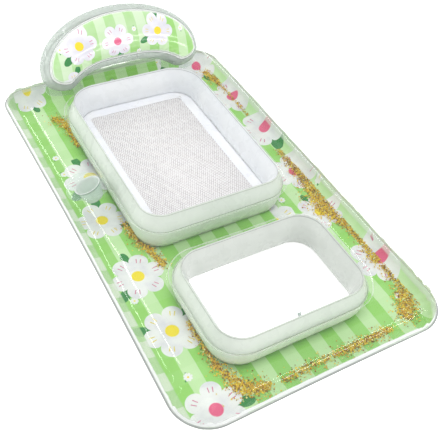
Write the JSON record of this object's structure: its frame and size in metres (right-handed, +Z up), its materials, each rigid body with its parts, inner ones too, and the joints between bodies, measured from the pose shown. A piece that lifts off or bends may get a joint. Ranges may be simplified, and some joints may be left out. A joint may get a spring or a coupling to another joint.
{
  "type": "inflatable pool lounger",
  "caption": "Flat inflatable lounger with a mesh seat and an open leg well inside raised collars, a crescent pillow that tilts, a moulded cup holder and air valves with plugs.",
  "frame": {"origin": "on the underside, in the middle of the crossbeam between the seat and the leg opening", "axes": "+X across, away from the cup holder's side; +Y towards the head end with the pillow; +Z up"},
  "size_m": [1.0202, 1.7718, 0.4033],
  "materials": {
    "clear_film": "clear glossy film",
    "printed_film": "glossy film printed with green gingham and daisies",
    "milky_film": "milky translucent film",
    "white_film": "smooth white film",
    "mesh": "white perforated mesh",
    "tinted_moulding": "tinted translucent moulding",
    "soft_moulding": "soft clear moulding",
    "valve_flap": "thin soft flap",
    "gold_flakes": "metallised gold flakes"
  },
  "bodies": {
    "ring": {"ring_top_sheet": "clear_film", "ring_bottom_sheet": "printed_film", "seat_collar_outer_wall": "milky_film", "seat_collar_inner_wall": "milky_film", "leg_collar_outer_wall": "milky_film", "leg_collar_inner_wall": "milky_film", "mesh_border": "white_film", "seat_mesh": "mesh", "pillow_left_tab": "clear_film", "pillow_right_tab": "clear_film", "cup_holder": "tinted_moulding", "cup_holder_weld_ring": "clear_film", "ring_valve_flange": "soft_moulding", "seat_valve_flange": "soft_moulding", "leg_valve_flange": "soft_moulding", "glitter_drift_head_left": "gold_flakes", "glitter_drift_left_rail": "gold_flakes", "glitter_drift_leg_left": "gold_flakes", "glitter_drift_foot_left": "gold_flakes", "glitter_drift_foot_beam": "gold_flakes", "glitter_drift_foot_right": "gold_flakes", "glitter_drift_right_rail": "gold_flakes", "glitter_drift_head_right": "gold_flakes"},
    "pillow": {"pillow_front_sheet": "printed_film", "pillow_back_sheet": "clear_film", "pillow_gusset": "clear_film", "pillow_valve_flange": "soft_moulding"},
    "ring_stem": {"ring_valve_stem": "soft_moulding"},
    "ring_plug": {"ring_valve_plug": "soft_moulding"},
    "ring_flap": {"ring_valve_flap": "valve_flap"},
    "seat_stem": {"seat_valve_stem": "soft_moulding"},
    "seat_plug": {"seat_valve_plug": "soft_moulding"},
    "seat_flap": {"seat_valve_flap": "valve_flap"},
    "leg_stem": {"leg_valve_stem": "soft_moulding"},
    "leg_plug": {"leg_valve_plug": "soft_moulding"},
    "leg_flap": {"leg_valve_flap": "valve_flap"},
    "pillow_stem": {"pillow_valve_stem": "soft_moulding"},
    "pillow_plug": {"pillow_valve_plug": "soft_moulding"},
    "pillow_flap": {"pillow_valve_flap": "valve_flap"}
  },
  "joints": [
    {"name": "pillow_tilt", "type": "hinge", "parent": "ring", "child": "pillow", "pos_m": [0, 0.952, 0.1843], "axis": [-1, 0, 0], "range_deg": [-25, 10], "stiffness_Nm_per_rad": 3, "springref_deg": -4.01},
    {"name": "ring_stem_slide", "type": "slide", "parent": "ring", "child": "ring_stem", "axis": [0, 0.7915, -0.6112], "range_m": [-0.008, 0]},
    {"name": "ring_plug_hinge", "type": "hinge", "parent": "ring_stem", "child": "ring_plug", "pos_m": [0.0088, 1.08297, 0.01166], "axis": [0, -0.6112, -0.7915], "range_deg": [0, 150]},
    {"name": "ring_flap_hinge", "type": "hinge", "parent": "ring_stem", "child": "ring_flap", "pos_m": [0.0056, 1.06461, 0.02584], "axis": [0, 0.6112, 0.7915], "range_deg": [0, 40], "stiffness_Nm_per_rad": 0.0001},
    {"name": "seat_stem_slide", "type": "slide", "parent": "ring", "child": "seat_stem", "axis": [0, 0.9135, 0.4068], "range_m": [-0.008, 0]},
    {"name": "seat_plug_hinge", "type": "hinge", "parent": "seat_stem", "child": "seat_plug", "pos_m": [0.0088, 0.11503, 0.12399], "axis": [0, 0.4068, -0.9135], "range_deg": [0, 150]},
    {"name": "seat_flap_hinge", "type": "hinge", "parent": "seat_stem", "child": "seat_flap", "pos_m": [0.0056, 0.09383, 0.11455], "axis": [0, -0.4068, 0.9135], "range_deg": [0, 40], "stiffness_Nm_per_rad": 0.0001},
    {"name": "leg_stem_slide", "type": "slide", "parent": "ring", "child": "leg_stem", "axis": [0, 0.8934, 0.4493], "range_m": [-0.008, 0]},
    {"name": "leg_plug_hinge", "type": "hinge", "parent": "leg_stem", "child": "leg_plug", "pos_m": [0.0088, -0.44024, 0.11104], "axis": [0, 0.4493, -0.8934], "range_deg": [0, 150]},
    {"name": "leg_flap_hinge", "type": "hinge", "parent": "leg_stem", "child": "leg_flap", "pos_m": [0.0056, -0.46096, 0.10062], "axis": [0, -0.4493, 0.8934], "range_deg": [0, 40], "stiffness_Nm_per_rad": 0.0001},
    {"name": "pillow_stem_slide", "type": "slide", "parent": "pillow", "child": "pillow_stem", "axis": [0, 0.848, -0.5299], "range_m": [-0.008, 0]},
    {"name": "pillow_plug_hinge", "type": "hinge", "parent": "pillow_stem", "child": "pillow_plug", "pos_m": [0.0088, 1.10135, 0.24825], "axis": [0, -0.5299, -0.848], "range_deg": [0, 150]},
    {"name": "pillow_flap_hinge", "type": "hinge", "parent": "pillow_stem", "child": "pillow_flap", "pos_m": [0.0056, 1.08167, 0.26054], "axis": [0, 0.5299, 0.848], "range_deg": [0, 40], "stiffness_Nm_per_rad": 0.0001}
  ]
}
